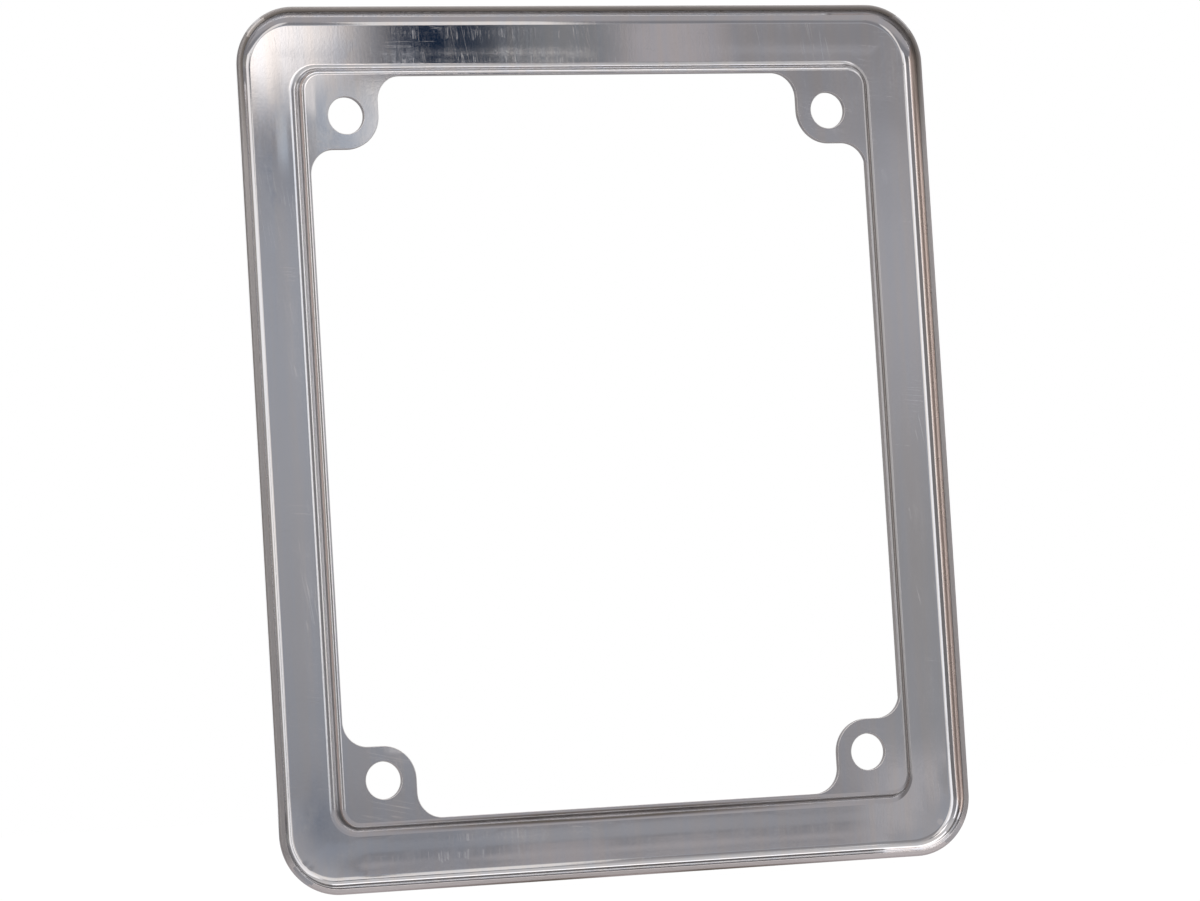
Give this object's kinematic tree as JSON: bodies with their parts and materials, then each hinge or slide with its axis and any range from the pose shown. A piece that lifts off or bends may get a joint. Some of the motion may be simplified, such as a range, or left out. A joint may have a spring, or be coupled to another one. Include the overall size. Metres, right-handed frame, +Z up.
{
  "type": "number plate holder",
  "caption": "Rectangular frame pressed from bright aluminium sheet that holds a small moped number plate in its recess, with a drilled ear in each corner.",
  "frame": {"origin": "middle of the hole pattern, on the face of the ears that meets the bracket", "axes": "+Z up along the plate's height, +X across its width, +Y out of the face that the plate lies in"},
  "size_m": [0.1308, 0.0035, 0.1558],
  "materials": {
    "polished_aluminium": "satin-polished, with faint rub marks and a few small scratches"
  },
  "bodies": {
    "root": {"holder_frame": "polished_aluminium"}
  },
  "joints": []
}
